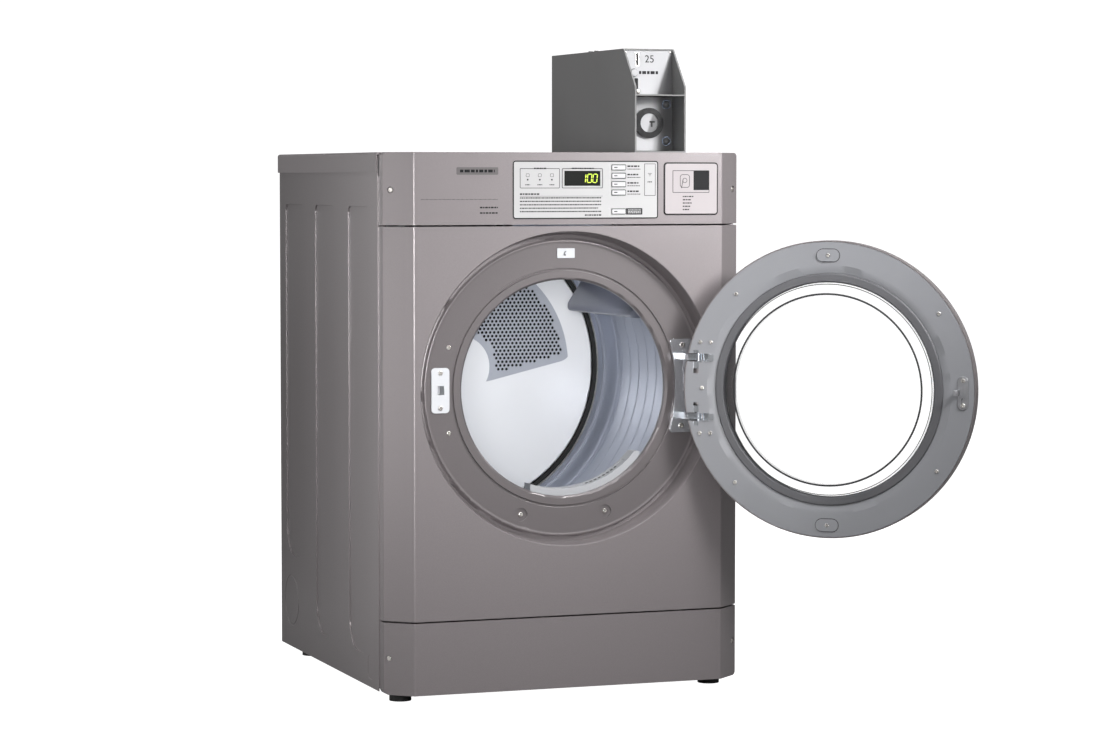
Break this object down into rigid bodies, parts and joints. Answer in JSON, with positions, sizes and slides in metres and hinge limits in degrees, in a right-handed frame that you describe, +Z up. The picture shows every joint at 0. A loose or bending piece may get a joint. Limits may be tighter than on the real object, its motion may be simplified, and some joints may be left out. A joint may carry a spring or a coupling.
{
  "type": "tumble dryer",
  "caption": "Coin-operated front-load tumble dryer with a round glass door standing open, a ribbed sheet-metal cabinet and a coin meter on top.",
  "frame": {"origin": "on the floor, at the centre of the four levelling feet", "axes": "+Z up, +X to the right seen from the front, +Y to the back; the door faces -Y"},
  "size_m": [1.001, 1.1014, 1.1765],
  "materials": {
    "cabinet_paint": "warm grey metallic enamel",
    "galvanised": "dull galvanised sheet",
    "white_overlay": "satin printed film",
    "display_lens": "dark tinted lens",
    "grey_pad": "satin moulded",
    "screw_steel": "bright zinc",
    "white_plastic": "moulded white",
    "hinge_chrome": "polished",
    "white_enamel": "gloss white enamel",
    "felt": "felt",
    "grille_paint": "grey paint",
    "belt_rubber": "matte",
    "motor_steel": "dull steel",
    "black_plastic": "matte",
    "heater_wire": "oxidised nickel alloy",
    "board_laminate": "laminate",
    "meter_paint": "dark grey fine texture",
    "meter_chrome": "polished stainless",
    "window_glass": "clear",
    "liner_grey": "satin grey",
    "gasket_rubber": "matte",
    "strike_zinc": "zinc plated",
    "drum_steel": "coated steel",
    "baffle_plastic": "moulded grey",
    "vault_steel": "brushed"
  },
  "bodies": {
    "root": {"base_pan": "galvanised", "left_side_panel": "cabinet_paint", "right_side_panel": "cabinet_paint", "rear_panel": "galvanised", "top_cover": "cabinet_paint", "front_panel": "cabinet_paint", "control_fascia": "cabinet_paint", "kick_panel": "cabinet_paint", "control_overlay": "white_overlay", "display_window": "display_lens", "instruction_pad": "grey_pad", "panel_screws": "screw_steel", "door_catch": "white_plastic", "door_switch": "white_plastic", "hinge_bracket": "hinge_chrome", "front_bulkhead": "white_enamel", "drum_seals": "felt", "rear_bulkhead": "white_enamel", "air_grille": "grille_paint", "drive_belt": "belt_rubber", "motor": "motor_steel", "blower_housing": "black_plastic", "exhaust_duct": "galvanised", "heater_box": "galvanised", "heater_coil": "heater_wire", "control_board": "board_laminate", "meter_case": "meter_paint", "meter_faceplate": "meter_chrome"},
    "door": {"door_shell": "cabinet_paint", "door_window": "window_glass", "door_liner": "liner_grey", "door_gasket": "gasket_rubber", "door_glass": "window_glass", "door_strike": "strike_zinc", "door_screws": "screw_steel", "hinge_leaves": "hinge_chrome"},
    "drum": {"drum": "drum_steel", "drum_baffles": "baffle_plastic"},
    "roller_left": {"roller_left": "gasket_rubber"},
    "roller_right": {"roller_right": "gasket_rubber"},
    "motor_shaft": {"motor_shaft": "motor_steel", "blower_wheel": "black_plastic"},
    "idler_arm": {"idler_arm": "galvanised"},
    "idler_pulley": {"idler_pulley": "black_plastic"},
    "switch_plunger": {"switch_plunger": "white_plastic"},
    "lint_filter": {"lint_filter": "white_plastic"},
    "foot_front_left": {"foot_front_left": "gasket_rubber"},
    "foot_front_right": {"foot_front_right": "gasket_rubber"},
    "foot_rear_left": {"foot_rear_left": "gasket_rubber"},
    "foot_rear_right": {"foot_rear_right": "gasket_rubber"},
    "heat_button_1": {"heat_button_1": "grey_pad"},
    "heat_button_2": {"heat_button_2": "grey_pad"},
    "heat_button_3": {"heat_button_3": "grey_pad"},
    "heat_button_4": {"heat_button_4": "grey_pad"},
    "start_button": {"start_button": "grey_pad"},
    "coin_return_button": {"coin_return_button": "meter_chrome"},
    "vault_door": {"vault_door": "vault_steel", "cash_box": "galvanised"},
    "vault_lock": {"vault_lock": "meter_chrome"}
  },
  "joints": [
    {"name": "door_hinge", "type": "hinge", "parent": "root", "child": "door", "pos_m": [0.246, -0.369, 0.558], "axis": [0, 0, 1], "range_deg": [-142, 0]},
    {"name": "drum_spin", "type": "hinge", "parent": "root", "child": "drum", "pos_m": [0, 0, 0.562], "axis": [0, 1, 0], "continuous": true},
    {"name": "roller_left_spin", "type": "hinge", "parent": "root", "child": "roller_left", "pos_m": [-0.20951, 0, 0.29384], "axis": [0, 1, 0], "continuous": true},
    {"name": "roller_right_spin", "type": "hinge", "parent": "root", "child": "roller_right", "pos_m": [0.20951, 0, 0.29384], "axis": [0, 1, 0], "continuous": true},
    {"name": "motor_spin", "type": "hinge", "parent": "root", "child": "motor_shaft", "pos_m": [-0.2, 0, 0.11], "axis": [0, 1, 0], "continuous": true},
    {"name": "idler_swing", "type": "hinge", "parent": "root", "child": "idler_arm", "pos_m": [-0.07, 0.12, 0.07], "axis": [0, 1, 0], "range_deg": [0, 8], "stiffness_Nm_per_rad": 4, "springref_deg": -20.05},
    {"name": "idler_spin", "type": "hinge", "parent": "idler_arm", "child": "idler_pulley", "pos_m": [-0.11, 0, 0.12], "axis": [0, 1, 0], "continuous": true},
    {"name": "switch_press", "type": "slide", "parent": "root", "child": "switch_plunger", "axis": [0, 1, 0], "range_m": [0, 0.004], "stiffness_N_per_m": 150},
    {"name": "filter_lift", "type": "slide", "parent": "root", "child": "lint_filter", "axis": [0, 0, 1], "range_m": [0, 0.12]},
    {"name": "vault_pull", "type": "slide", "parent": "root", "child": "vault_door", "axis": [0, -1, 0], "range_m": [0, 0.25]},
    {"name": "lock_turn", "type": "hinge", "parent": "vault_door", "child": "vault_lock", "pos_m": [0.1885, -0.262, 1.038], "axis": [0, 1, 0], "range_deg": [0, 90]},
    {"name": "coin_return_press", "type": "slide", "parent": "root", "child": "coin_return_button", "axis": [0, 1, 0], "range_m": [0, 0.003], "stiffness_N_per_m": 300},
    {"name": "foot_front_left_level", "type": "slide", "parent": "root", "child": "foot_front_left", "axis": [0, 0, -1], "range_m": [0, 0.015]},
    {"name": "foot_front_right_level", "type": "slide", "parent": "root", "child": "foot_front_right", "axis": [0, 0, -1], "range_m": [0, 0.015]},
    {"name": "foot_rear_left_level", "type": "slide", "parent": "root", "child": "foot_rear_left", "axis": [0, 0, -1], "range_m": [0, 0.015]},
    {"name": "foot_rear_right_level", "type": "slide", "parent": "root", "child": "foot_rear_right", "axis": [0, 0, -1], "range_m": [0, 0.015]},
    {"name": "heat_button_1_press", "type": "slide", "parent": "root", "child": "heat_button_1", "axis": [0, 1, 0], "range_m": [0, 0.0015], "stiffness_N_per_m": 500},
    {"name": "heat_button_2_press", "type": "slide", "parent": "root", "child": "heat_button_2", "axis": [0, 1, 0], "range_m": [0, 0.0015], "stiffness_N_per_m": 500},
    {"name": "heat_button_3_press", "type": "slide", "parent": "root", "child": "heat_button_3", "axis": [0, 1, 0], "range_m": [0, 0.0015], "stiffness_N_per_m": 500},
    {"name": "heat_button_4_press", "type": "slide", "parent": "root", "child": "heat_button_4", "axis": [0, 1, 0], "range_m": [0, 0.0015], "stiffness_N_per_m": 500},
    {"name": "start_button_press", "type": "slide", "parent": "root", "child": "start_button", "axis": [0, 1, 0], "range_m": [0, 0.0015], "stiffness_N_per_m": 500}
  ],
  "couplings": [
    {"joint": "roller_left_spin", "follows": "drum_spin", "ratio": -11.593},
    {"joint": "roller_right_spin", "follows": "drum_spin", "ratio": -11.593},
    {"joint": "motor_spin", "follows": "drum_spin", "ratio": 34.778},
    {"joint": "idler_spin", "follows": "drum_spin", "ratio": 14.227}
  ]
}
